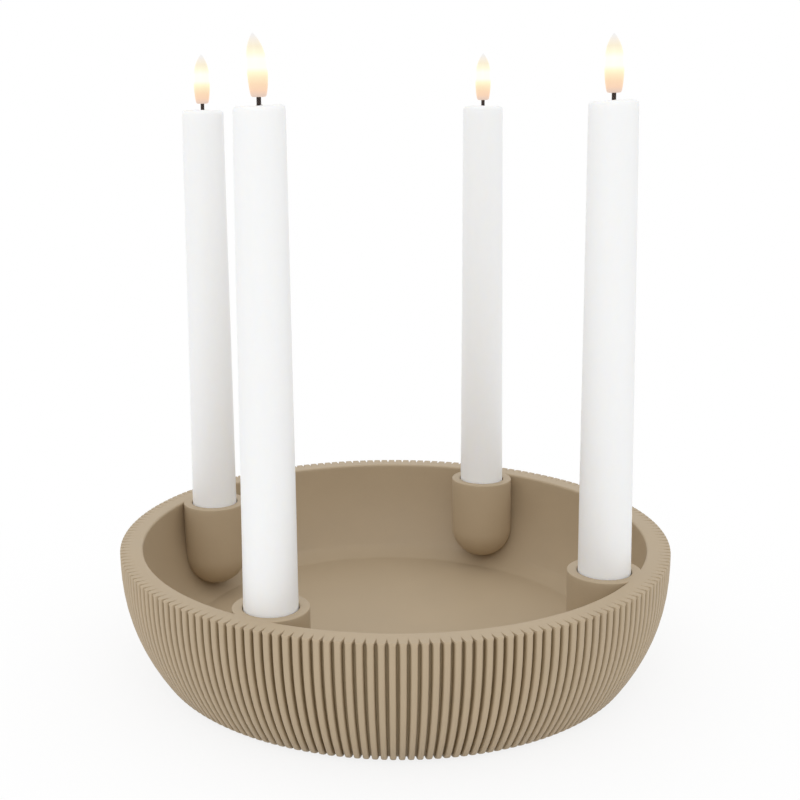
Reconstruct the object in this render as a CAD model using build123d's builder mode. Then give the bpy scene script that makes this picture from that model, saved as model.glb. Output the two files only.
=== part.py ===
from build123d import *
import math
import os

# Advent candle holder: a ribbed stoneware bowl with four cups on its inner wall, and in each
# cup a battery taper candle with a glowing flame. The origin is on the table under the bowl's
# centre, +Z is up, and the cups stand on the X and Y axes. All sizes are in millimetres.

# Bowl
bowl_radius = 125.5          # over the rib crests, high on the wall
bowl_height = 56.0           # foot ring to rim
bowl_wall = 8.9              # wall behind the grooves, at the rim
floor_thickness = 8.6
belly_inset = 17.5           # how far the outside draws in at the foot
cavity_inset = 13.4          # how far the inside draws in at the floor
belly_power = 2.4            # how late the wall starts to draw in
belly_steps = 6
cavity_fillet = 12.0         # cove between inner wall and floor
edge_round = 0.6             # inner rim and cup lips
rim_round = 3.0              # outer edge of the rim, on the crests
rim_angles = (90, 60, 30, 0)
toe_round = 2.0              # outer edge of the foot
toe_angles = (45, 90)
foot_ring_width = 10.0
foot_recess = 1.0
overcut = 1.0

# Ribs
rib_count = 192
rib_depth = 1.4
rib_share = 0.74             # share of the wave that is rib, the rest is groove
rim_notch = 2.0              # depth of the grooves where they run out on the rim

# Felt pads
pad_count = 4
pad_radius = 8.0
pad_thickness = 2.0
pad_margin = 6.6             # between the pads and the foot ring

# Cups
cup_radius = 15.65
cup_overlap = 2.55           # how far the round of a cup runs into the wall
cup_depth = 42.6
cup_bore_depth = 25.0
cup_clearance = 0.3          # between candle and cup

# Candle outside
candle_foot_radius = 11.15
candle_top_radius = 10.0
candle_length = 221.5        # seat to wax top
wax_crown = 5.5              # wax over the end of the core tube
wax_top_round = 1.8
glue_gap = 0.1

# Base cap
cap_setback = 0.25           # cap edge behind the wax
cap_height = 3.5
cap_edge = 0.6
cap_recess_radius = 7.5
cap_recess = 1.4
cap_floor = 1.4
cap_gap = 0.2                # running gap under wax and tube
spigot_length = 6.5
spigot_wall = 1.05
spigot_clearance = 0.15

# Bayonet
lug_count = 2
lug_angle = 24.0
lug_height = 1.6
lug_rise = 2.0               # above the flange
lug_setback = 0.3            # behind the outside of the tube
lug_clearance = 0.3
bayonet_turn = 40.0

# Cells
cell_radius = 5.25
cell_length = 44.5
cell_button_radius = 1.9
cell_button = 1.0
cell_edge = 0.5
cell_count = 2
cell_clearance = 0.35

# Core tube
tube_wall = 1.6
tube_end = 2.0

# Slide switch
switch_length = 7.0
switch_width = 3.4
switch_height = 3.2
switch_travel = 2.0
switch_clearance = 0.15
slider_length = 2.6
slider_width = 1.8
slider_height = 0.8
knob_length = 1.8
knob_width = 1.4
knob_recess = 0.4            # knob end above the seat

# Contacts
sheet_metal = 0.3
contact_gap = 0.1
leaf_width = 3.0
leaf_length = 5.0
terminal_width = 2.0
strip_width = 3.0
strip_clearance = 0.2
strip_setback = 0.4          # strip outside the cells' bore
strip_overlap = 6.0          # of strip and board

# Circuit board
board_thickness = 1.0
board_length = 24.0
board_clearance = 0.15
chip_size = 4.0
chip_height = 1.2

# Leads and wick
lead_radius = 0.45
lead_overlap = 5.0           # on the board and beside the wick
wick_radius = 0.9
wick_clearance = 0.05
wick_shown = 3.0
wick_below = 8.0             # under the end of the core tube

# Lamp and flame
lamp_radius = 1.5
lamp_height = 3.2
flame_radius = 3.95
flame_height = 23.5
flame_wall = 0.9
flame_lean = 1.6             # of the tip, towards the candle's own X
# Shares of the flame's height and radius, from its foot to its tip
flame_outline = ((0.0, 0.64), (0.04, 0.78), (0.15, 0.885), (0.36, 0.985),
                 (0.58, 0.965), (0.77, 0.755), (0.9, 0.44), (0.98, 0.14))
hollow_stations = flame_outline[2:6]

# Where each candle stands and how far it is turned in its cup, in degrees
candles = {"right": (0, 122), "back": (90, 112), "left": (180, 126), "front": (270, 208)}

# Levels and radii that follow from the sizes above
foot_z = pad_thickness - foot_recess
rim_z = foot_z + bowl_height
floor_z = foot_z + floor_thickness
cavity_depth = bowl_height - floor_thickness
rim_inner = bowl_radius - rib_depth - bowl_wall
foot_ring_inner = bowl_radius - belly_inset - rib_depth - toe_round - foot_ring_width
pad_circle_radius = foot_ring_inner - pad_margin - pad_radius
cup_circle_radius = rim_inner + cup_overlap - cup_radius
seat_z = rim_z - cup_bore_depth
cup_bore_radius = candle_foot_radius + cup_clearance
cap_radius = candle_foot_radius - cap_setback
wax_bottom = cap_height + cap_gap
wax_crown_z = candle_length - wax_crown
tube_bore = cell_radius + cell_clearance
tube_radius = tube_bore + tube_wall
tube_top = wax_crown_z - glue_gap
tube_end_z = tube_top - tube_end
wax_bore = tube_radius + glue_gap
wick_hole = wick_radius + wick_clearance
spigot_radius = tube_bore - spigot_clearance
spigot_bore = spigot_radius - spigot_wall
spigot_top = cap_height + spigot_length
lug_radius = tube_radius - lug_setback
lug_z = cap_height + lug_rise
slot_angle = lug_angle + 2 * math.degrees(lug_clearance / tube_bore)
switch_z = cap_recess + cap_floor
switch_top = switch_z + switch_height
slider_z = switch_z + switch_clearance
terminal_top = spigot_top + sheet_metal
strip_foot_z = terminal_top + contact_gap
cells_z = strip_foot_z + sheet_metal + contact_gap
cell_pitch = cell_length + contact_gap
cells_top = cells_z + cell_count * cell_pitch
leaf_top = cells_z - contact_gap
board_z = cells_top + sheet_metal
board_top = board_z + board_length
board_half = tube_bore - board_clearance
strip_inner = tube_bore + strip_setback
strip_outer = strip_inner + sheet_metal
strip_top = board_z + strip_overlap
lead_x = board_thickness / 2 + lead_radius + glue_gap
lead_y = wick_radius + lead_radius
wick_bottom = tube_end_z - wick_below
flame_z = candle_length + wick_shown
wick_in_flame = flame_height * hollow_stations[0][0] + glue_gap
lamp_z = flame_z + wick_in_flame


def wall_radius(depth):
    """Radius of the rib crests at a depth below the rim, before the edges are rounded."""
    return bowl_radius - belly_inset * (depth / bowl_height) ** belly_power


def cavity_radius(depth):
    """Radius of the smooth inner wall at a depth below the rim."""
    return rim_inner - cavity_inset * (depth / cavity_depth) ** belly_power


def rounded_level(edge_depth, way, radius, reach, angle):
    """One level in a rounded edge: its depth, and the crest and groove radii there."""
    depth = edge_depth + way * radius * (1 - math.sin(math.radians(angle)))
    drop = 1 - math.cos(math.radians(angle))
    crest = wall_radius(depth) - radius * drop
    groove = wall_radius(depth) - rib_depth - (radius + reach) * drop
    return depth, crest, groove


def rib_levels():
    """Depth, crest radius and groove radius of each section of the ribbed wall, rim first."""
    rim_reach = rim_notch - rib_depth
    levels = [rounded_level(0, 1, rim_round, rim_reach, angle) for angle in rim_angles]
    straight = bowl_height - rim_round - toe_round
    for step in range(1, belly_steps + 1):
        depth = rim_round + straight * step / belly_steps
        levels.append((depth, wall_radius(depth), wall_radius(depth) - rib_depth))
    levels += [rounded_level(bowl_height, -1, toe_round, 0, angle) for angle in toe_angles]
    return levels


def around(radius, angle):
    """Point on a circle round the Z axis, at an angle in radians."""
    return Vector(radius * math.cos(angle), radius * math.sin(angle))


def scallops(crest, groove):
    """Closed run of rib and groove arcs, tangent to each other, round the bowl."""
    half_pitch = math.pi / rib_count
    slope = 2 * math.atan((crest - groove) / (half_pitch * crest))
    rib_arc = rib_share * half_pitch * crest / math.sin(slope)
    meet_radius = crest - rib_arc * (1 - math.cos(slope))
    meet_angle = rib_arc * math.sin(slope) / crest
    arcs = []
    for rib in range(rib_count):
        middle = 2 * half_pitch * rib
        start = around(meet_radius, middle - meet_angle)
        end = around(meet_radius, middle + meet_angle)
        next_start = around(meet_radius, middle + 2 * half_pitch - meet_angle)
        arcs.append(Edge.make_three_point_arc(start, around(crest, middle), end))
        arcs.append(Edge.make_three_point_arc(end, around(groove, middle + half_pitch), next_start))
    return arcs


def upright(angle):
    """Plane through the Z axis whose X points outwards at an angle in degrees."""
    out = around(1, math.radians(angle))
    return Plane((0, 0, 0), x_dir=out, z_dir=(out.Y, -out.X, 0))


def turned_block(inner, outer, low, high):
    """Sketch of a rectangle from one radius to another, between two heights."""
    with Locations((inner, low)):
        Rectangle(outer - inner, high - low, align=(Align.MIN, Align.MIN))


def write_piece(part, name):
    """Label one finished piece and write its file."""
    part.label = name
    export_step(part, f"parts/{name}.step")


os.makedirs("parts", exist_ok=True)

# Space inside the bowl, bounded by the smooth inner wall, the cove and the floor
with BuildPart() as cavity:
    with BuildSketch(Plane.XZ):
        with BuildLine():
            depths = [cavity_depth * step / belly_steps for step in range(belly_steps + 1)]
            inner_wall = Spline(*[(cavity_radius(depth), rim_z - depth) for depth in depths])
            Polyline(inner_wall @ 1, (0, floor_z), (0, rim_z + overcut),
                     (cavity_radius(0), rim_z + overcut), inner_wall @ 0)
        make_face()
    revolve(axis=Axis.Z)
    fillet(cavity.edges().filter_by(GeomType.CIRCLE).sort_by(Axis.Z)[0], cavity_fillet)

# Ribbed stoneware bowl: the ribs run from the foot over the outer edge of the rim
with BuildPart() as bowl:
    for depth, crest, groove in rib_levels():
        with BuildSketch(Plane.XY.offset(rim_z - depth)):
            make_face(scallops(crest, groove))
    loft()
    add(cavity.part, mode=Mode.SUBTRACT)
    with BuildSketch(Plane.XY.offset(foot_z)):
        Circle(foot_ring_inner)
    extrude(amount=foot_recess, mode=Mode.SUBTRACT)
    with BuildSketch(Plane.XY.offset(seat_z)):
        with PolarLocations(cup_circle_radius, len(candles)):
            Circle(cup_bore_radius)
    extrude(amount=cup_bore_depth, mode=Mode.SUBTRACT)
    rim_circles = bowl.edges().filter_by(GeomType.CIRCLE).group_by(Axis.Z)[-1]
    fillet(rim_circles.sort_by(SortBy.RADIUS)[-1], edge_round)
write_piece(bowl.part, "bowl")

# Round-bottomed cup with a rounded lip and bore mouth, made once on the Z axis
with BuildPart() as cup:
    with BuildSketch(Plane.XZ):
        with BuildLine():
            dome = CenterArc((0, rim_z - cup_depth + cup_radius), cup_radius, -90, 90)
            side = Line(dome @ 1, (cup_radius, rim_z - edge_round))
            lip = JernArc(side @ 1, (0, 1), edge_round, 90)
            land = Line(lip @ 1, (cup_bore_radius + edge_round, rim_z))
            mouth = JernArc(land @ 1, (-1, 0), edge_round, 90)
            Polyline(mouth @ 1, (cup_bore_radius, seat_z), (0, seat_z), dome @ 0)
        make_face()
    revolve(axis=Axis.Z)

# Four cups, cut to the inner wall that they are joined to
with BuildPart() as candle_cups:
    with PolarLocations(cup_circle_radius, len(candles)):
        add(cup.part)
    add(cavity.part, mode=Mode.INTERSECT)
write_piece(candle_cups.part, "candle_cups")

# Felt pads, glued into the recess of the foot and standing just proud of it
with BuildPart() as foot_pads:
    with BuildSketch():
        with PolarLocations(pad_circle_radius, pad_count, start_angle=180 / pad_count):
            Circle(pad_radius)
    extrude(amount=pad_thickness)
write_piece(foot_pads.part, "foot_pads")

# Candle pieces, each made once on the Z axis with the seat of the candle at zero
# Hollow wax taper with a crown that the wick comes through
with BuildPart() as wax_sleeve:
    with BuildSketch(Plane.XZ):
        with BuildLine():
            Polyline((wick_hole, candle_length), (candle_top_radius, candle_length),
                     (candle_foot_radius, wax_bottom), (wax_bore, wax_bottom),
                     (wax_bore, wax_crown_z), (wick_hole, wax_crown_z), close=True)
        make_face()
    revolve(axis=Axis.Z)
    top_circles = wax_sleeve.edges().filter_by(GeomType.CIRCLE).group_by(Axis.Z)[-1]
    fillet(top_circles.sort_by(SortBy.RADIUS)[-1], wax_top_round)

# Moulded core tube: closed top, a channel for the strip and bayonet slots at its foot
with BuildPart() as core_tube:
    with BuildSketch(Plane.XZ):
        turned_block(wick_hole, tube_radius, tube_end_z, tube_top)
        turned_block(tube_bore, tube_radius, wax_bottom, tube_top)
    revolve(axis=Axis.Z)
    with BuildSketch(Plane.XY.offset(wax_bottom)):
        Rectangle(strip_width + 2 * strip_clearance, strip_outer + strip_clearance,
                  align=(Align.CENTER, Align.MIN))
    extrude(amount=strip_top + strip_clearance - wax_bottom, mode=Mode.SUBTRACT)
    for lug in range(lug_count):
        locked = 360 * lug / lug_count - slot_angle / 2
        with BuildSketch(upright(locked)):
            turned_block(tube_bore - overcut, tube_radius + overcut,
                         lug_z - lug_clearance, lug_z + lug_height + lug_clearance)
        revolve(axis=Axis.Z, revolution_arc=slot_angle + bayonet_turn, mode=Mode.SUBTRACT)
        with BuildSketch(upright(locked + bayonet_turn)):
            turned_block(tube_bore - overcut, tube_radius + overcut, wax_bottom - overcut, lug_z)
        revolve(axis=Axis.Z, revolution_arc=slot_angle, mode=Mode.SUBTRACT)

# Base cap: flange, spigot with bayonet lugs, and a slot for the switch knob
with BuildPart() as base_cap:
    with BuildSketch(Plane.XZ):
        turned_block(cap_recess_radius, cap_radius, 0, cap_height)
        turned_block(0, cap_radius, cap_recess, switch_z)
        turned_block(spigot_bore, cap_radius, cap_recess, cap_height)
        turned_block(spigot_bore, spigot_radius, cap_recess, spigot_top)
    revolve(axis=Axis.Z)
    seat_circles = base_cap.edges().filter_by(GeomType.CIRCLE).group_by(Axis.Z)[0]
    chamfer(seat_circles.sort_by(SortBy.RADIUS)[-1], cap_edge)
    with BuildSketch(Plane.XY.offset(cap_recess)):
        Rectangle(knob_length + switch_travel + 2 * switch_clearance, knob_width + 2 * switch_clearance)
    extrude(amount=cap_floor, mode=Mode.SUBTRACT)
    for lug in range(lug_count):
        with BuildSketch(upright(360 * lug / lug_count - lug_angle / 2)):
            turned_block(spigot_radius - spigot_wall / 2, lug_radius, lug_z, lug_z + lug_height)
        revolve(axis=Axis.Z, revolution_arc=lug_angle)

# Slide switch with its terminal hooked over the end of the spigot
with BuildPart() as switch_housing:
    with BuildSketch(Plane.XY.offset(switch_z)):
        Rectangle(switch_length, switch_width)
    extrude(amount=switch_height)
    with BuildSketch(Plane.XY.offset(switch_z)):
        Rectangle(slider_length + switch_travel + 2 * switch_clearance, slider_width + 2 * switch_clearance)
    extrude(amount=slider_height + 2 * switch_clearance, mode=Mode.SUBTRACT)
    post_outer = spigot_bore - strip_clearance
    with BuildSketch(Plane.YZ):
        turned_block(0, post_outer, switch_top - sheet_metal, switch_top)
        turned_block(post_outer - sheet_metal, post_outer, switch_top - sheet_metal, terminal_top)
        turned_block(post_outer - sheet_metal, spigot_radius, spigot_top, terminal_top)
    extrude(amount=terminal_width / 2, both=True)

# Slider of the switch, pushed to the on end
with BuildPart() as switch_slider:
    with BuildSketch(Plane.XY.offset(slider_z)):
        with Locations((switch_travel / 2, 0)):
            Rectangle(slider_length, slider_width)
    extrude(amount=slider_height)
    with BuildSketch(Plane.XY.offset(knob_recess)):
        with Locations((switch_travel / 2, 0)):
            Rectangle(knob_length, knob_width)
    extrude(amount=slider_z - knob_recess)

# Folded spring leaf under the lower cell
with BuildPart() as base_contact:
    fold = leaf_length / 2
    tongue = 2 * sheet_metal
    with BuildSketch(Plane.XZ):
        with BuildLine():
            Polyline((-fold, switch_top), (fold, switch_top), (fold, switch_top + sheet_metal),
                     (tongue - fold / 2, leaf_top - sheet_metal), (fold / 2, leaf_top - sheet_metal),
                     (fold / 2, leaf_top), (-fold / 2, leaf_top), (-fold / 2, leaf_top - sheet_metal),
                     (fold - tongue, switch_top + sheet_metal), (-fold, switch_top + sheet_metal),
                     close=True)
        make_face()
    extrude(amount=leaf_width / 2, both=True)

# Dry cells in line, buttons up
with BuildPart() as batteries:
    for cell in range(cell_count):
        cell_z = cells_z + cell * cell_pitch
        with BuildSketch(Plane.XY.offset(cell_z)):
            Circle(cell_radius)
        extrude(amount=cell_length - cell_button)
        with BuildSketch(Plane.XY.offset(cell_z + cell_length - cell_button)):
            Circle(cell_button_radius)
        extrude(amount=cell_button)
    rims = batteries.edges().filter_by(GeomType.CIRCLE)
    fillet(rims.filter_by(lambda rim: rim.radius > cell_button_radius), cell_edge)

# Plate on the upper button with a tab soldered to the board
with BuildPart() as top_contact:
    with BuildSketch(Plane.XY.offset(cells_top)):
        Circle(board_half)
    extrude(amount=sheet_metal)
    with BuildSketch(Plane.XY.offset(board_z)):
        with Locations((board_thickness / 2, 0)):
            Rectangle(sheet_metal, terminal_width, align=(Align.MIN, Align.CENTER))
    extrude(amount=strip_overlap / 2)

# Driver board standing across the tube, with its chip
with BuildPart() as circuit_board:
    with BuildSketch(Plane.XY.offset(board_z)):
        Rectangle(board_thickness, 2 * board_half - 2 * board_clearance)
    extrude(amount=board_length)
    with BuildSketch(Plane.XY.offset(board_z + (board_length - chip_size) / 2)):
        with Locations((-board_thickness / 2, 0)):
            Rectangle(chip_height, chip_size, align=(Align.MAX, Align.CENTER))
    extrude(amount=chip_size)

# Strip in the tube's channel, from the switch terminal up to the board
with BuildPart() as contact_strip:
    with BuildSketch(Plane.YZ):
        turned_block(spigot_bore, strip_outer, strip_foot_z, strip_foot_z + sheet_metal)
        turned_block(strip_inner, strip_outer, strip_foot_z, strip_top)
        turned_block(board_half, strip_outer, strip_top - sheet_metal, strip_top)
    extrude(amount=strip_width / 2, both=True)

# Two leads from the board up to the wick
with BuildPart() as lead_wires:
    with BuildSketch(Plane.XY.offset(board_top - lead_overlap)):
        with Locations((lead_x, lead_y), (lead_x, -lead_y)):
            Circle(lead_radius)
    extrude(amount=wick_bottom + 2 * lead_overlap - board_top)

# Black wick tube that carries the leads up to the lamp
with BuildPart() as wick:
    with BuildSketch(Plane.XY.offset(wick_bottom)):
        Circle(wick_radius)
    extrude(amount=lamp_z - wick_bottom)

# Warm lamp with a domed lens
with BuildPart() as led_lamp:
    with BuildSketch(Plane.XY.offset(lamp_z)):
        Circle(lamp_radius)
    extrude(amount=lamp_height)
    fillet(led_lamp.edges().group_by(Axis.Z)[-1], lamp_radius - glue_gap)

# Flame: a thin translucent shell that leans a little towards its tip
with BuildPart() as flame:
    for height_share, radius_share in flame_outline:
        with BuildSketch(Plane.XY.offset(flame_z + flame_height * height_share)):
            with Locations((flame_lean * height_share ** 2, 0)):
                Circle(flame_radius * radius_share)
    loft()
    for height_share, radius_share in hollow_stations:
        with BuildSketch(Plane.XY.offset(flame_z + flame_height * height_share)):
            with Locations((flame_lean * height_share ** 2, 0)):
                Circle(flame_radius * radius_share - flame_wall)
    loft(mode=Mode.SUBTRACT)
    with BuildSketch(Plane.XY.offset(flame_z)):
        Circle(wick_hole)
    extrude(amount=wick_in_flame, mode=Mode.SUBTRACT)

candle_pieces = {
    "wax_sleeve": wax_sleeve,
    "core_tube": core_tube,
    "base_cap": base_cap,
    "switch_housing": switch_housing,
    "switch_slider": switch_slider,
    "base_contact": base_contact,
    "batteries": batteries,
    "top_contact": top_contact,
    "circuit_board": circuit_board,
    "contact_strip": contact_strip,
    "lead_wires": lead_wires,
    "wick": wick,
    "led_lamp": led_lamp,
    "flame": flame,
}

# Four candles, each standing in its cup
for spot, (place, turn) in candles.items():
    seat = around(cup_circle_radius, math.radians(place))
    for piece_name, piece in candle_pieces.items():
        with BuildPart() as placed:
            with Locations(Location((seat.X, seat.Y, seat_z), (0, 0, turn))):
                add(piece.part)
        write_piece(placed.part, f"{spot}_{piece_name}")
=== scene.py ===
import math
import bpy
import numpy as np
from mathutils import Matrix, Vector


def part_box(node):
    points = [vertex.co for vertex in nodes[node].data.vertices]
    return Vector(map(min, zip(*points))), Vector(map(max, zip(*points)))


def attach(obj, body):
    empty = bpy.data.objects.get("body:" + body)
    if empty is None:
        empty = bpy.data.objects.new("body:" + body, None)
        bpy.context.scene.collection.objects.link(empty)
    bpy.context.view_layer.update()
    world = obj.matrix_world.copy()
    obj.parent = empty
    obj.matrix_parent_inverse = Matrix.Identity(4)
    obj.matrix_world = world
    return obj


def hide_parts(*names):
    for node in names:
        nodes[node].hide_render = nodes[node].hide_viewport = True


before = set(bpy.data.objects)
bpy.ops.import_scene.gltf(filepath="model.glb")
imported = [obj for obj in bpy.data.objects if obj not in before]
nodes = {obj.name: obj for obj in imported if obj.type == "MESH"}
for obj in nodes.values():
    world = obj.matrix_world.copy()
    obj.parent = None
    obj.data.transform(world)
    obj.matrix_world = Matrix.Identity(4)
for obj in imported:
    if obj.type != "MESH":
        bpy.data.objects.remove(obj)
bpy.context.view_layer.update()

# Stoneware bowl: one heavy casting in a sand-coloured clay, fired unglazed and matt. Fine upright
# ribs stand round its outside, and the grooves between them run out on the flat rim as small notches.
foot_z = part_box("bowl")[0].z
rim_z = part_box("bowl")[1].z
bowl_height = rim_z - foot_z
bowl_radius = 0.1255
belly_inset = 0.0175
belly_power = 2.4
inner_rim = 0.1152
cavity_inset = 0.0134
cavity_depth = 0.0474
cavity_top = 0.002
cove_radius = 0.0957
cove_depth = 0.0421
bend_radius = 0.1039
bend_depth = 0.0441
floor_crease = 0.0002
lip_round = 0.001
notch_start = 0.1200
notch_drop = 0.0011
notch_power = 1.3
notch_spread = 0.42
crest_round = 0.0005
crest_flat = 0.7
rib_count = 192
rib_depth = 0.0028
rib_share = 0.78
rib_power = 4.5
toe_round = 0.002
foot_ring_outer = 0.1025
foot_ring_inner = 0.0946
foot_edge = 0.0005
foot_recess = 0.001
recess_ring = 0.05
hub = 0.0003


def wall_radius(depth):
    """Radius of the rib crests at a depth below the rim."""
    return bowl_radius - belly_inset * (depth / bowl_height) ** belly_power


def cavity_radius(depth):
    """Radius of the smooth inner wall at a depth below the rim."""
    return inner_rim - cavity_inset * (depth / cavity_depth) ** belly_power


# Rows hold crest radius, crest depth, groove radius and groove depth, from the floor's middle
# over the rim and down to the foot
rows = []
floor_rings = (hub, 0.03, 0.06, 0.08, 0.09, 0.0945, cove_radius - floor_crease)
for radius in floor_rings:
    rows.append((radius, cavity_depth, radius, cavity_depth))
for step in np.linspace(0, 1, 9):
    pull = ((1 - step) ** 2, 2 * step * (1 - step), step ** 2)
    radius = np.dot(pull, (cove_radius, bend_radius, cavity_radius(cove_depth)))
    depth = np.dot(pull, (cavity_depth, bend_depth, cove_depth))
    rows.append((radius, depth, radius, depth))
for depth in np.linspace(cove_depth, cavity_top, 14)[1:]:
    rows.append((cavity_radius(depth), depth, cavity_radius(depth), depth))
for angle in np.radians(np.arange(0, 91, 15)):
    radius = inner_rim + lip_round * (1 - math.cos(angle))
    depth = lip_round * (1 - math.sin(angle))
    rows.append((radius, depth, radius, depth))
rim_row = len(rows)
rim_rings = (inner_rim + 0.0014, inner_rim + 0.003, notch_start - 0.0008, notch_start - 0.0002)
for radius in rim_rings:
    rows.append((radius, 0, radius, 0))
notch_row = len(rows)
edge_start = bowl_radius - crest_round
groove_start = bowl_radius - rib_depth
rim_steps = np.linspace(0, 1, 13)
for step in rim_steps:
    run = min(step / crest_flat, 1)
    turn = math.pi / 2 * max(step - crest_flat, 0) / (1 - crest_flat)
    crest = notch_start + (edge_start - notch_start) * run + crest_round * math.sin(turn)
    groove = notch_start + (groove_start - notch_start) * step
    rows.append((crest, crest_round * (1 - math.cos(turn)), groove, notch_drop * step ** notch_power))
wall_row = len(rows)
wall_depths = (0.0014, 0.002, 0.003, 0.006, 0.011, 0.017, 0.023, 0.029, 0.034, 0.039, 0.044, 0.0485,
               0.052, 0.054)
for depth in wall_depths:
    rows.append((wall_radius(depth), depth, wall_radius(depth) - rib_depth, depth))
for angle in np.radians(np.arange(15, 91, 15)):
    depth = bowl_height - toe_round * (1 - math.sin(angle))
    radius = wall_radius(depth) - toe_round * (1 - math.cos(angle))
    rows.append((radius, depth, radius - rib_depth, depth))
foot_row = len(rows)
for radius in (foot_ring_outer, foot_ring_inner + foot_edge, foot_ring_inner):
    rows.append((radius, bowl_height, radius, bowl_height))
for radius in (foot_ring_inner, foot_ring_inner - foot_edge, recess_ring, hub):
    rows.append((radius, bowl_height - foot_recess, radius, bowl_height - foot_recess))
crest_r, crest_d, groove_r, groove_d = np.array(rows).T

# A rib has a flattish face and round shoulders that drop steeply into the groove, and on the rim
# the groove narrows to a pointed notch
half_rib = np.array((0, 0.2, 0.37, 0.5, 0.59, 0.66, 0.705, 0.74, 0.763, 0.775, rib_share, 0.86, 0.93, 1))
across = np.concatenate([-half_rib[:0:-1], half_rib[:-1]])
fall = 1 - np.sqrt(1 - np.minimum(np.abs(across) / rib_share, 1) ** rib_power)
angles = (np.arange(rib_count)[:, None] * 2 + across).ravel() * math.pi / rib_count
weight = np.repeat(np.tile(fall, rib_count)[None, :], len(rows), axis=0)
narrowest = 0.01
notch_width = notch_spread * np.maximum(rim_steps, narrowest)[:, None]
notch = np.clip(1 - (1 - np.abs(across))[None, :] / notch_width, 0, 1)
weight[notch_row:wall_row] = np.tile(notch, (1, rib_count))
radii = crest_r[:, None] + (groove_r - crest_r)[:, None] * weight
heights = rim_z - crest_d[:, None] - (groove_d - crest_d)[:, None] * weight

# Behind each cup the inner wall is cut away for the bore
first_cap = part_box("right_base_cap")
seat_z = first_cap[0].z
cup_circle = first_cap[0].lerp(first_cap[1], 0.5).x
bore_radius = 0.01145
bore_slack = 0.0004
quarter = math.pi / 2
aside = cup_circle * np.sin((angles + quarter / 2) % quarter - quarter / 2)
bore_cut = bore_radius + bore_slack
behind = np.sqrt(cup_circle ** 2 - aside ** 2) + np.sqrt(np.maximum(bore_cut ** 2 - aside ** 2, 0))
cut_here = (np.abs(aside) < bore_cut)[None, :] & (heights > seat_z - bore_slack)
cut_here[rim_row:] = False
radii = np.where(cut_here, np.maximum(radii, behind[None, :]), radii)


def grid_object(name, points, material, outward=True):
    """Mesh object from rows of points that close round an axis, with both ends capped."""
    row_count, columns = points.shape[:2]
    ring = np.arange(columns)
    beside = np.roll(ring, -1)
    faces = []
    for row in range(row_count - 1):
        low, high = row * columns, (row + 1) * columns
        quads = np.stack([low + ring, low + beside, high + beside, high + ring], axis=1)
        faces += quads.tolist() if outward else quads[:, ::-1].tolist()
    top = ((row_count - 1) * columns + ring).tolist()
    faces += [ring[::-1].tolist(), top] if outward else [ring.tolist(), top[::-1]]
    mesh = bpy.data.meshes.new(name)
    mesh.from_pydata(points.reshape(-1, 3).tolist(), [], faces)
    mesh.polygons.foreach_set("use_smooth", [True] * len(mesh.polygons))
    mesh.materials.append(material)
    made = bpy.data.objects.new(name, mesh)
    bpy.context.scene.collection.objects.link(made)
    return made


def add_node(tree, kind, inputs=None, **settings):
    """Add a shader node; each input takes a value or a link from another node's socket."""
    made = tree.nodes.new("ShaderNode" + kind)
    for name, value in settings.items():
        setattr(made, name, value)
    for name, value in (inputs or {}).items():
        if isinstance(value, bpy.types.NodeSocket):
            tree.links.new(value, made.inputs[name])
        else:
            made.inputs[name].default_value = value
    return made


# Grain: the fine unevenness that fired clay, wax, moulded plastic and rolled metal share. It shades
# the colour and the gloss a little and gives the height of a low relief
grain = bpy.data.node_groups.new("grain", "ShaderNodeTree")
grain.interface.new_socket("Color", in_out="INPUT", socket_type="NodeSocketColor")
for label in ("Spread", "Size", "Roughness"):
    grain.interface.new_socket(label, in_out="INPUT", socket_type="NodeSocketFloat")
grain.interface.new_socket("Color", in_out="OUTPUT", socket_type="NodeSocketColor")
for label in ("Roughness", "Height"):
    grain.interface.new_socket(label, in_out="OUTPUT", socket_type="NodeSocketFloat")
cloud_share = 0.03
gloss_spread = 0.2
given = grain.nodes.new("NodeGroupInput").outputs
place = add_node(grain, "TexCoord").outputs["Object"]
density = add_node(grain, "Math", {0: 1.0, 1: given["Size"]}, operation="DIVIDE").outputs[0]
fine = add_node(grain, "TexNoise", {"Vector": place, "Scale": density, "Detail": 5.0, "Roughness": 0.62})
cloud_density = add_node(grain, "Math", {0: density, 1: cloud_share}, operation="MULTIPLY").outputs[0]
cloud = add_node(grain, "TexNoise", {"Vector": place, "Scale": cloud_density, "Detail": 3.0})
both = add_node(grain, "Math", {0: fine.outputs[0], 1: cloud.outputs[0]}, operation="ADD").outputs[0]
level = add_node(grain, "Math", {0: both, 1: 1.0}, operation="SUBTRACT").outputs[0]
shade = add_node(grain, "Math", {0: level, 1: given["Spread"], 2: 1.0}, operation="MULTIPLY_ADD").outputs[0]
tinted = add_node(grain, "VectorMath", {0: given["Color"], "Scale": shade}, operation="SCALE").outputs[0]
gloss = add_node(grain, "Math", {0: level, 1: gloss_spread, 2: given["Roughness"]},
                 operation="MULTIPLY_ADD").outputs[0]
put_out = grain.nodes.new("NodeGroupOutput").inputs
grain.links.new(tinted, put_out["Color"])
grain.links.new(gloss, put_out["Roughness"])
grain.links.new(fine.outputs[0], put_out["Height"])


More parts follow.
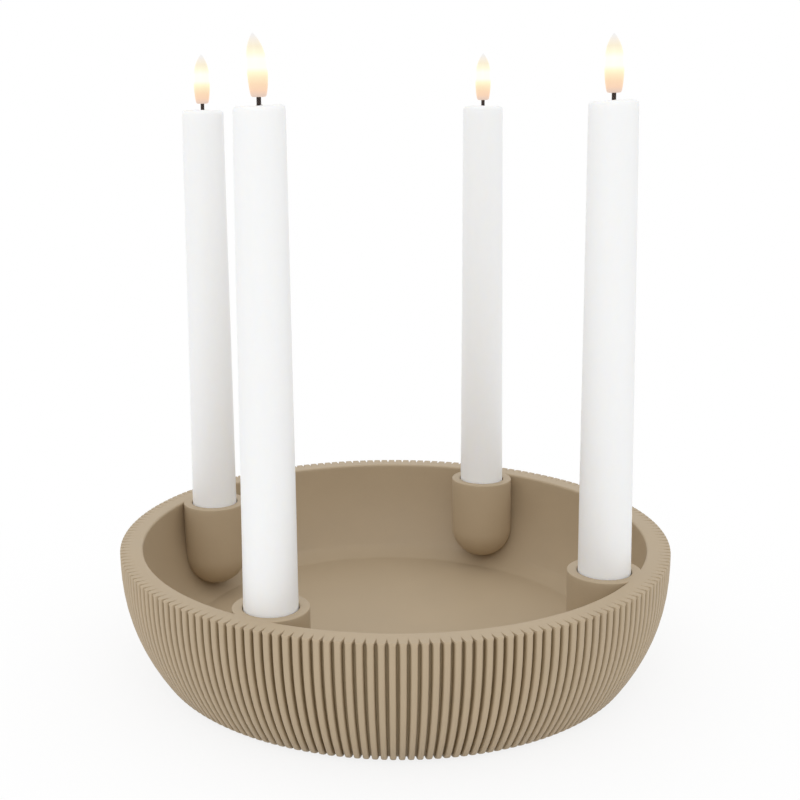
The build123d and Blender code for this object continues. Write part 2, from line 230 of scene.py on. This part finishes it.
def grained(name, color, roughness, spread, size, relief, fixed=None):
    """Material with the grain in its colour, gloss and relief; fixed sets the shader's other sockets."""
    material = bpy.data.materials.new(name)
    material.use_nodes = True
    tree = material.node_tree
    shader = tree.nodes["Principled BSDF"]
    group = add_node(tree, "Group", node_tree=grain)
    own = {"Color": (*color, 1), "Spread": spread, "Size": size, "Roughness": roughness}
    for label, value in own.items():
        group.inputs[label].default_value = value
    bump = add_node(tree, "Bump", {"Height": group.outputs["Height"], "Distance": relief})
    tree.links.new(group.outputs["Color"], shader.inputs["Base Color"])
    tree.links.new(group.outputs["Roughness"], shader.inputs["Roughness"])
    tree.links.new(bump.outputs["Normal"], shader.inputs["Normal"])
    for socket, value in (fixed or {}).items():
        shader.inputs[socket].default_value = value
    return material


# Painted shade: the clay colour is darkened deep in the grooves of the wall, where shade falls between the
# ribs
clay = (0.44, 0.343, 0.225)
groove_shade_color = (0.32, 0.235, 0.13)
stoneware = grained("stoneware", clay, 0.56, 0.09, 0.0006, 0.00004, {"Specular IOR Level": 0.55})
tree = stoneware.node_tree
groove_depth = add_node(tree, "Attribute", attribute_name="groove").outputs["Fac"]
groove_shade_ramp = add_node(tree, "ValToRGB", {"Fac": groove_depth})
groove_shade_ramp.color_ramp.elements[0].color = (*clay, 1)
groove_shade_ramp.color_ramp.elements[0].position = 0.1
groove_shade_ramp.color_ramp.elements[1].color = (*groove_shade_color, 1)
groove_shade_ramp.color_ramp.elements[1].position = 0.55
tree.links.new(groove_shade_ramp.outputs["Color"], tree.nodes["Group"].inputs["Color"])
# Weight of the painted groove shade, kept to the ribbed outer wall and off the rim and the foot
groove_shade_weight = weight.copy()
groove_shade_weight[:wall_row] = 0
groove_shade_weight[foot_row:] = 0
bowl_points = np.stack([radii * np.cos(angles), radii * np.sin(angles), heights], axis=2)
bowl = grid_object("ribbed_bowl", bowl_points, stoneware, outward=False)
groove = bowl.data.attributes.new("groove", "FLOAT", "POINT")
groove.data.foreach_set("value", groove_shade_weight.ravel())
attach(bowl, "bowl")
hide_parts("bowl")

# Candle cups: four round-bottomed cups of the same clay, joined to the inner wall flush with the
# rim. Each has a softened lip and a straight bore that the foot of a candle drops into.
spots = ("right", "back", "left", "front")
cup_radius = 0.01565
cup_depth = 0.0426
cup_sink = 0.00004
cup_top = rim_z - cup_sink
cup_lip = 0.0005
cup_land = 0.0009
cup_middle = 0.0001
cup_columns = 128
dome_z = rim_z - cup_depth + cup_radius
cup_profile = [(cup_middle, dome_z - cup_radius)]
for angle in np.radians(np.arange(6, 91, 6)):
    cup_profile.append((cup_radius * math.sin(angle), dome_z - cup_radius * math.cos(angle)))
for share in (0.35, 0.7, 0.9):
    cup_profile.append((cup_radius, dome_z + (cup_top - dome_z) * share))
lip_angles = np.radians(np.linspace(0, 90, 5))
for angle in lip_angles:
    fallen = cup_lip * (1 - math.sin(angle))
    cup_profile.append((cup_radius - cup_lip * (1 - math.cos(angle)), cup_top - fallen))
cup_profile += [(cup_radius - cup_land, cup_top), (bore_radius + cup_land, cup_top)]
for angle in lip_angles[::-1]:
    fallen = cup_lip * (1 - math.sin(angle))
    cup_profile.append((bore_radius + cup_lip * (1 - math.cos(angle)), cup_top - fallen))
for share in (0.9, 0.5, 0.02, 0.0):
    cup_profile.append((bore_radius, seat_z + (cup_top - seat_z) * share))
cup_profile += [(bore_radius - cup_lip, seat_z), (cup_middle, seat_z)]


def turned(profile, columns):
    """Points of a profile of radii and heights turned round the Z axis."""
    radii, heights = np.array(profile).T
    angles = np.linspace(0, 2 * math.pi, columns, endpoint=False)
    x = radii[:, None] * np.cos(angles)
    y = radii[:, None] * np.sin(angles)
    z = np.repeat(heights[:, None], columns, axis=1)
    return np.stack([x, y, z], axis=2)


for number, spot in enumerate(spots):
    cup_points = turned(cup_profile, cup_columns) + np.array((cup_circle, 0, 0))
    cup = grid_object(f"{spot}_cup", cup_points, stoneware)
    cup.data.transform(Matrix.Rotation(number * quarter, 4, "Z"))
    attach(cup, "bowl")
    if number == 0:
        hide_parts("candle_cups")

# Felt pads: four discs punched from grey wool felt and glued into the recess of the foot, so that
# the rough clay does not scratch the table.
felt = grained("felt", (0.16, 0.15, 0.14), 0.95, 0.5, 0.0004, 0.0003, {"Sheen Weight": 0.4})
nodes["foot_pads"].data.materials[0] = felt

# Candles: white paraffin tapers, dipped round a moulded core, so their sides are a little uneven and
# their tops slope softly to a small pool round the wick.
wax = grained("wax", (0.885, 0.89, 0.89), 0.42, 0.02, 0.004, 0.00006, {
    "Subsurface Weight": 0.35, "Subsurface Radius": (1.0, 0.9, 0.75), "Subsurface Scale": 0.003,
    "Specular IOR Level": 0.35})
wax_foot_radius = 0.01115
wax_foot_edge = 0.0003
wax_top_radius = 0.01
wax_top_round = 0.0018
wax_bore = 0.0073
wax_bore_rise = 0.03
wax_columns = 72
wax_swell = 0.004
wax_ripple = 0.003
top_slope = 0.00022
top_wave = 0.00012
top_share = 0.03
pool_rings = ((0.007, 0.00015), (0.005, 0.0004), (0.003, 0.0006), (0.002, 0.0005))
collar_radius = 0.0013
collar_rise = 0.0001
wick_hole = 0.0009
wick_hole_depth = 0.003
turn_between = 1.7
for number, spot in enumerate(spots):
    low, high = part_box(f"{spot}_wax_sleeve")
    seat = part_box(f"{spot}_base_cap")[0].lerp(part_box(f"{spot}_base_cap")[1], 0.5)
    side = [(wax_bore, low.z + wax_bore_rise), (wax_bore, low.z), (wax_foot_radius - wax_foot_edge, low.z)]
    side_foot = low.z + wax_foot_edge
    side_top = high.z - wax_top_round
    for share in np.linspace(0, 1, 40):
        radius = wax_foot_radius + (wax_top_radius - wax_foot_radius) * share
        side.append((radius, side_foot + (side_top - side_foot) * share))
    for angle in np.radians(np.arange(15, 91, 15)):
        radius = wax_top_radius - wax_top_round * (1 - math.cos(angle))
        side.append((radius, high.z - wax_top_round * (1 - math.sin(angle))))
    for radius, dip in pool_rings:
        side.append((radius, high.z - dip))
    side += [(collar_radius, high.z - collar_rise), (wick_hole, high.z + collar_rise),
             (wick_hole, high.z - wick_hole_depth)]
    points = turned(side, wax_columns)
    around = np.linspace(0, 2 * math.pi, wax_columns, endpoint=False) + turn_between * number
    up = (points[:, :, 2] - low.z) / (high.z - low.z)
    swell = 1 + wax_swell * np.sin(2 * around + 5 * up) * up + wax_ripple * np.sin(3 * around - 9 * up)
    outside = np.hypot(points[:, :, 0], points[:, :, 1]) > wax_bore + wax_foot_edge
    points[:, :, :2] *= np.where(outside, swell, 1)[:, :, None]
    slope = top_slope * np.cos(around) + top_wave * np.cos(2 * around + 1)
    points[:, :, 2] += slope * np.clip((up - 1 + top_share) / top_share, 0, 1)
    candle = grid_object(f"{spot}_wax", points + np.array((seat.x, seat.y, 0)), wax)
    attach(candle, f"{spot}_candle")
    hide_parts(f"{spot}_wax_sleeve")

# Wicks: a black woven sleeve over the two leads, with brown threads showing through the weave. It
# stands in the hole of the candle's top and carries the flame.
wick_finish = bpy.data.materials.new("wick")
wick_finish.use_nodes = True
tree = wick_finish.node_tree
place = add_node(tree, "TexCoord").outputs["Object"]
threads = add_node(tree, "TexWave", {"Vector": place, "Scale": 520.0, "Distortion": 2.5, "Detail": 2.0},
                   bands_direction="DIAGONAL")
colors = add_node(tree, "ValToRGB", {"Fac": threads.outputs["Fac"]})
colors.color_ramp.elements[0].color = (0.004, 0.0035, 0.003, 1)
colors.color_ramp.elements[0].position = 0.45
colors.color_ramp.elements[1].color = (0.075, 0.04, 0.025, 1)
bump = add_node(tree, "Bump", {"Height": threads.outputs["Fac"], "Distance": 0.0001})
shader = tree.nodes["Principled BSDF"]
shader.inputs["Roughness"].default_value = 0.7
tree.links.new(colors.outputs["Color"], shader.inputs["Base Color"])
tree.links.new(bump.outputs["Normal"], shader.inputs["Normal"])
wick_radius = 0.0009
wick_rings = 160
wick_columns = 24
strands = 4
strand_turns = 5200
weave_middle = 0.96
weave_relief = 0.05
for spot in spots:
    low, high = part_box(f"{spot}_wick")
    middle = low.lerp(high, 0.5)
    profile = [(wick_radius, height) for height in np.linspace(low.z, high.z, wick_rings)]
    points = turned(profile, wick_columns)
    around = strands * np.arctan2(points[:, :, 1], points[:, :, 0])
    along = strand_turns * points[:, :, 2]
    weave = np.sin(around + along) * np.sin(around - along)
    points[:, :, :2] *= (weave_middle + weave_relief * weave)[:, :, None]
    wick = grid_object(f"{spot}_wick_sleeve", points + np.array((middle.x, middle.y, 0)), wick_finish)
    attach(wick, f"{spot}_candle")
    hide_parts(f"{spot}_wick")

# Flames: thin shells of frosted plastic, lit from inside by the lamp. They glow peach round the wick,
# near white at the lamp and cream above it, and the solid tip stays pale and unlit.
flame_radius = 0.00395
flame_height = 0.0235
flame_lean = 0.0018
flame_columns = 48
lean_angles = {"right": 122, "back": 112, "left": 126, "front": 208}
flame_outline = ((0.0, 0.25), (0.0, 0.5), (0.004, 0.64), (0.02, 0.735), (0.045, 0.785), (0.08, 0.825),
                 (0.15, 0.885), (0.25, 0.945), (0.36, 0.985), (0.48, 1.0), (0.58, 0.965), (0.68, 0.88),
                 (0.77, 0.755), (0.84, 0.605), (0.9, 0.44), (0.945, 0.285), (0.975, 0.165),
                 (0.993, 0.075), (1.0, 0.015))
glow_steps = ((0.0, (0.62, 0.45, 0.36)), (0.10, (0.83, 0.51, 0.30)), (0.20, (0.86, 0.57, 0.31)),
              (0.30, (0.88, 0.70, 0.39)), (0.38, (0.89, 0.86, 0.51)), (0.46, (0.91, 0.90, 0.83)),
              (0.60, (0.91, 0.90, 0.83)), (0.70, (0.89, 0.86, 0.59)), (0.80, (0.83, 0.73, 0.51)),
              (0.90, (0.80, 0.73, 0.62)), (1.0, (0.74, 0.74, 0.75)))
for spot in spots:
    low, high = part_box(f"{spot}_flame")
    flame_finish = bpy.data.materials.new(f"{spot}_flame_shell")
    flame_finish.use_nodes = True
    tree = flame_finish.node_tree
    height = add_node(tree, "SeparateXYZ", {0: add_node(tree, "TexCoord").outputs["Object"]}).outputs["Z"]
    share = add_node(tree, "MapRange", {"Value": height, "From Min": low.z, "From Max": high.z}).outputs[0]
    glow = add_node(tree, "ValToRGB", {"Fac": share})
    for position, color in glow_steps[1:-1]:
        glow.color_ramp.elements.new(position).color = (*color, 1)
    glow.color_ramp.elements[0].color = (*glow_steps[0][1], 1)
    glow.color_ramp.elements[-1].color = (*glow_steps[-1][1], 1)
    shader = tree.nodes["Principled BSDF"]
    shader.inputs["Base Color"].default_value = (0.22, 0.21, 0.2, 1)
    shader.inputs["Roughness"].default_value = 0.4
    shader.inputs["Emission Strength"].default_value = 0.85
    tree.links.new(glow.outputs["Color"], shader.inputs["Emission Color"])
    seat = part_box(f"{spot}_base_cap")[0].lerp(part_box(f"{spot}_base_cap")[1], 0.5)
    profile = [(radius * flame_radius, low.z + rise * flame_height) for rise, radius in flame_outline]
    points = turned(profile, flame_columns)
    lean = flame_lean * ((points[:, :, 2] - low.z) / flame_height) ** 2
    towards = math.radians(lean_angles[spot])
    points[:, :, 0] += seat.x + lean * math.cos(towards)
    points[:, :, 1] += seat.y + lean * math.sin(towards)
    flame = grid_object(f"{spot}_flame_glow", points, flame_finish)
    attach(flame, f"{spot}_candle")
    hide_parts(f"{spot}_flame")

# Works inside each candle: a moulded core tube, a twist-off cap with its slide switch, two bare
# cells in line, pressed spring contacts, the driver board, its leads and the lamp.
white_plastic = grained("white_plastic", (0.82, 0.81, 0.78), 0.45, 0.04, 0.0008, 0.00003)
cap_plastic = grained("cap_plastic", (0.86, 0.85, 0.82), 0.4, 0.03, 0.0006, 0.00004)
black_plastic = grained("black_plastic", (0.02, 0.02, 0.021), 0.5, 0.2, 0.0004, 0.00003)
spring_steel = grained("spring_steel", (0.62, 0.6, 0.56), 0.28, 0.1, 0.0005, 0.00001, {"Metallic": 1.0})
cell_jacket = grained("cell_jacket", (0.33, 0.36, 0.38), 0.3, 0.06, 0.0009, 0.00001, {"Metallic": 0.6})
board = grained("board", (0.015, 0.11, 0.045), 0.4, 0.25, 0.0007, 0.00003)
lead_jacket = grained("lead_jacket", (0.45, 0.02, 0.015), 0.45, 0.08, 0.0005, 0.00002)
lamp_lens = grained("lamp_lens", (0.9, 0.8, 0.6), 0.15, 0.03, 0.0006, 0.00001, {"Transmission Weight": 0.4})
finishes = {"core_tube": white_plastic, "base_cap": cap_plastic, "switch_housing": black_plastic,
            "switch_slider": black_plastic, "base_contact": spring_steel, "batteries": cell_jacket,
            "top_contact": spring_steel, "circuit_board": board, "contact_strip": spring_steel,
            "lead_wires": lead_jacket, "led_lamp": lamp_lens}
for spot in spots:
    for piece, finish in finishes.items():
        nodes[f"{spot}_{piece}"].data.materials[0] = finish

# Studio: a white sweep under soft light. The floor keeps the bowl's shadow near the foot and fades
# to plain white further out, as the sky above it does.
floor_half = 3.0
shadow_radius = 0.1
white_radius = 0.3
shadow_white = 0.82
level_light = 0.84
overhead_light = 1.06


def backdrop_rays(tree):
    """Share of the rays that see the plain backdrop: from the camera, mirrored or through glass."""
    rays = add_node(tree, "LightPath").outputs
    mirrored = add_node(tree, "Math", {0: rays["Is Camera Ray"], 1: rays["Is Glossy Ray"]}, operation="ADD")
    return add_node(tree, "Math", {0: mirrored.outputs[0], 1: rays["Is Transmission Ray"]}, operation="ADD",
                    use_clamp=True).outputs[0]


white = bpy.data.materials.new("floor")
white.use_nodes = True
tree = white.node_tree
tree.nodes.clear()
place = add_node(tree, "TexCoord").outputs["Object"]
distance = add_node(tree, "VectorMath", {0: place}, operation="LENGTH").outputs["Value"]
fade = add_node(tree, "MapRange", {"Value": distance, "From Min": shadow_radius, "From Max": white_radius,
                                   "To Min": shadow_white}).outputs[0]
lit = add_node(tree, "Math", {0: fade, 1: backdrop_rays(tree)}, operation="MULTIPLY").outputs[0]
paper = add_node(tree, "BsdfDiffuse", {"Color": (0.95, 0.95, 0.95, 1)}).outputs[0]
plain = add_node(tree, "Emission", {"Color": (1, 1, 1, 1)}).outputs[0]
mixed = add_node(tree, "MixShader", {0: lit, 1: paper, 2: plain}).outputs[0]
add_node(tree, "OutputMaterial", {"Surface": mixed})
corners = [(-floor_half, -floor_half, 0), (floor_half, -floor_half, 0),
           (floor_half, floor_half, 0), (-floor_half, floor_half, 0)]
floor_mesh = bpy.data.meshes.new("floor")
floor_mesh.from_pydata(corners, [], [(0, 1, 2, 3)])
floor_mesh.materials.append(white)
floor = bpy.data.objects.new("floor", floor_mesh)
bpy.context.scene.collection.objects.link(floor)

sky = bpy.data.worlds.new("sky")
bpy.context.scene.world = sky
sky.use_nodes = True
tree = sky.node_tree
tree.nodes.clear()
upwards = add_node(tree, "SeparateXYZ", {0: add_node(tree, "TexCoord").outputs["Generated"]}).outputs["Z"]
strength = add_node(tree, "MapRange", {"Value": upwards, "To Min": level_light, "To Max": overhead_light})
ambient = add_node(tree, "Background", {"Color": (1, 1, 1, 1), "Strength": strength.outputs[0]}).outputs[0]
backdrop = add_node(tree, "Background", {"Color": (1, 1, 1, 1), "Strength": 1.0}).outputs[0]
seen = add_node(tree, "MixShader", {0: backdrop_rays(tree), 1: ambient, 2: backdrop}).outputs[0]
add_node(tree, "OutputWorld", {"Surface": seen})

# Camera: stands where the photograph was taken, above the rim, and looks between two of the cups.
camera_azimuth = math.radians(28.2)
eye_distance = 0.5572
eye_height = 0.2473
camera_yaw = math.radians(3.28)
camera_pitch = math.radians(9.116)
camera_roll = math.radians(-0.963)
camera_data = bpy.data.cameras.new("camera")
camera_data.lens = 55.79
camera_data.sensor_width = 36.0
camera_data.shift_x = 0.1
camera_data.shift_y = -0.1
camera = bpy.data.objects.new("camera", camera_data)
bpy.context.scene.collection.objects.link(camera)
towards_camera = Vector((math.sin(camera_azimuth), -math.cos(camera_azimuth), 0))
facing = (Matrix.Rotation(camera_azimuth + camera_yaw, 4, "Z")
          @ Matrix.Rotation(math.pi / 2 - camera_pitch, 4, "X") @ Matrix.Rotation(camera_roll, 4, "Z"))
camera.matrix_world = Matrix.Translation(eye_distance * towards_camera + Vector((0, 0, eye_height))) @ facing
bpy.context.scene.camera = camera

# Key light: a large soft box high behind the camera, a little to its left.
key_ahead = 2.8
key_aside = 0.6
key_height = 1.8
key_data = bpy.data.lights.new("key", "AREA")
key_data.energy = 12.0
key_data.shape = "SQUARE"
key_data.size = 1.6
key = bpy.data.objects.new("key", key_data)
bpy.context.scene.collection.objects.link(key)
camera_left = Vector((-math.cos(camera_azimuth), -math.sin(camera_azimuth), 0))
key.location = key_ahead * towards_camera + key_aside * camera_left + Vector((0, 0, key_height))
key.rotation_euler = key.location.to_track_quat("Z", "Y").to_euler()

bpy.context.scene.view_settings.view_transform = "Standard"
